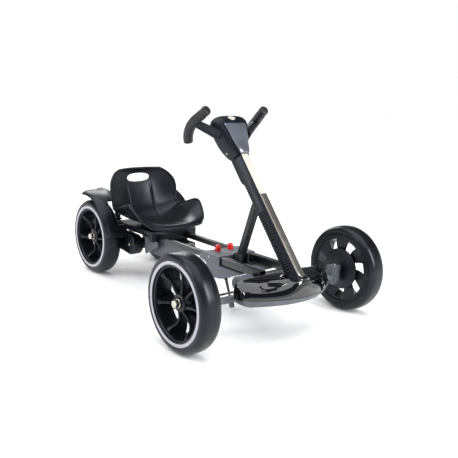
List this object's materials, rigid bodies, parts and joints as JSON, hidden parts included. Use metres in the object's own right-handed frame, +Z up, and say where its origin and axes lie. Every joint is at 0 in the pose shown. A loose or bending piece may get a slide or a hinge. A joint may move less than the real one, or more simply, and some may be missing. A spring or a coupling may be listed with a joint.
{
  "type": "battery ride-on go kart",
  "caption": "Low battery ride-on kart for children: telescopic twin-rail frame, steered front wheels, bucket seat, leaning column with a yoke, and a foot pedal.",
  "frame": {"origin": "on the ground, under the middle of the wheelbase, on the kart's mid plane", "axes": "+Z up, -Y the way the driver faces, +X the driver's left"},
  "size_m": [0.6406, 1, 0.5868],
  "materials": {
    "satin_black_plastic": "satin, slightly bluish black, moulded",
    "gloss_black_plastic": "high gloss black, moulded",
    "grey_plastic": "fine matt grey, moulded",
    "tyre_black": "smooth foam rubber",
    "pale_ring": "pale lavender grey, satin",
    "red_plastic": "glossy red",
    "black_painted_steel": "powder coated black",
    "bright_steel": "zinc plated",
    "silver_panel": "plain ivory to silver panel",
    "soft_black_rubber": "soft black grip rubber"
  },
  "bodies": {
    "chassis": {"front_cover": "gloss_black_plastic", "front_tray": "grey_plastic", "axle_beam": "grey_plastic", "left_front_tube": "black_painted_steel", "right_front_tube": "black_painted_steel", "clamp_block": "grey_plastic", "strut_bracket": "grey_plastic", "column_mount": "grey_plastic", "left_kingpin": "bright_steel", "right_kingpin": "bright_steel", "column_housing": "satin_black_plastic", "column_front_strip": "gloss_black_plastic", "column_panel": "silver_panel", "brace_strut": "satin_black_plastic"},
    "yoke": {"head_housing": "satin_black_plastic", "head_front_panel": "gloss_black_plastic", "head_cap": "silver_panel", "steering_shaft": "black_painted_steel", "left_handle_arm": "satin_black_plastic", "right_handle_arm": "satin_black_plastic", "left_grip": "soft_black_rubber", "right_grip": "soft_black_rubber"},
    "left_steer": {"left_knuckle": "grey_plastic", "left_front_axle_nut": "bright_steel"},
    "right_steer": {"right_knuckle": "grey_plastic", "right_front_axle_nut": "bright_steel"},
    "steering_rod": {"tie_rod": "bright_steel"},
    "left_front_wheel": {"left_front_tyre": "tyre_black", "left_front_hub": "satin_black_plastic", "left_front_sidewall_ring": "pale_ring"},
    "right_front_wheel": {"right_front_tyre": "tyre_black", "right_front_hub": "satin_black_plastic", "right_front_sidewall_ring": "pale_ring"},
    "rear_frame": {"left_rear_tube": "black_painted_steel", "right_rear_tube": "black_painted_steel", "seat": "satin_black_plastic", "seat_base": "satin_black_plastic", "left_axle_plate": "grey_plastic", "right_axle_plate": "grey_plastic", "rear_axle": "black_painted_steel", "gearbox_housing": "satin_black_plastic", "drive_motor": "black_painted_steel", "battery_box": "grey_plastic", "battery": "satin_black_plastic", "left_fender": "satin_black_plastic", "right_fender": "satin_black_plastic", "rear_deck": "satin_black_plastic", "left_rear_axle_nut": "bright_steel", "right_rear_axle_nut": "bright_steel"},
    "left_rear_wheel": {"left_rear_tyre": "tyre_black", "left_rear_hub": "satin_black_plastic", "left_rear_sidewall_ring": "pale_ring"},
    "right_rear_wheel": {"right_rear_tyre": "tyre_black", "right_rear_hub": "satin_black_plastic", "right_rear_sidewall_ring": "pale_ring"},
    "left_lock": {"left_lock_button": "red_plastic"},
    "right_lock": {"right_lock_button": "red_plastic"},
    "pedal": {"accelerator_pedal": "grey_plastic"},
    "stand": {"stand_leg": "black_painted_steel", "stand_foot": "grey_plastic"}
  },
  "joints": [
    {"name": "yoke_turn", "type": "hinge", "parent": "chassis", "child": "yoke", "pos_m": [0, -0.465, 0.163], "axis": [0, 0.6441, 0.7649], "range_deg": [-28, 28]},
    {"name": "left_steer_turn", "type": "hinge", "parent": "chassis", "child": "left_steer", "pos_m": [0.243, -0.375, 0.125], "axis": [0, 0, 1], "range_deg": [-25, 25]},
    {"name": "right_steer_turn", "type": "hinge", "parent": "chassis", "child": "right_steer", "pos_m": [-0.243, -0.375, 0.125], "axis": [0, 0, 1], "range_deg": [-25, 25]},
    {"name": "tie_rod_slide", "type": "slide", "parent": "chassis", "child": "steering_rod", "axis": [1, 0, 0], "range_m": [-0.0098, 0.0098]},
    {"name": "left_front_spin", "type": "hinge", "parent": "left_steer", "child": "left_front_wheel", "pos_m": [0.29125, -0.375, 0.125], "axis": [1, 0, 0], "continuous": true},
    {"name": "right_front_spin", "type": "hinge", "parent": "right_steer", "child": "right_front_wheel", "pos_m": [-0.29125, -0.375, 0.125], "axis": [1, 0, 0], "continuous": true},
    {"name": "frame_length", "type": "slide", "parent": "chassis", "child": "rear_frame", "axis": [0, 1, 0], "range_m": [-0.08, 0.04]},
    {"name": "left_rear_spin", "type": "hinge", "parent": "rear_frame", "child": "left_rear_wheel", "pos_m": [0.135, 0.375, 0.125], "axis": [1, 0, 0], "continuous": true},
    {"name": "right_rear_spin", "type": "hinge", "parent": "rear_frame", "child": "right_rear_wheel", "pos_m": [-0.135, 0.375, 0.125], "axis": [1, 0, 0], "continuous": true},
    {"name": "left_lock_press", "type": "slide", "parent": "chassis", "child": "left_lock", "axis": [0, 0, -1], "range_m": [0, 0.004], "stiffness_N_per_m": 600, "springref_m": -0.003},
    {"name": "right_lock_press", "type": "slide", "parent": "chassis", "child": "right_lock", "axis": [0, 0, -1], "range_m": [0, 0.004], "stiffness_N_per_m": 600, "springref_m": -0.003},
    {"name": "pedal_press", "type": "hinge", "parent": "chassis", "child": "pedal", "pos_m": [-0.097, -0.37, 0.119], "axis": [1, 0, 0], "range_deg": [0, 12], "stiffness_Nm_per_rad": 1, "springref_deg": -11.46},
    {"name": "stand_fold", "type": "hinge", "parent": "chassis", "child": "stand", "pos_m": [0, -0.171, 0.094], "axis": [-1, 0, 0], "range_deg": [0, 62]}
  ],
  "couplings": [
    {"joint": "left_steer_turn", "follows": "yoke_turn", "ratio": 0.889},
    {"joint": "right_steer_turn", "follows": "yoke_turn", "ratio": 0.889},
    {"joint": "tie_rod_slide", "follows": "yoke_turn", "m_per_rad": -0.02}
  ]
}
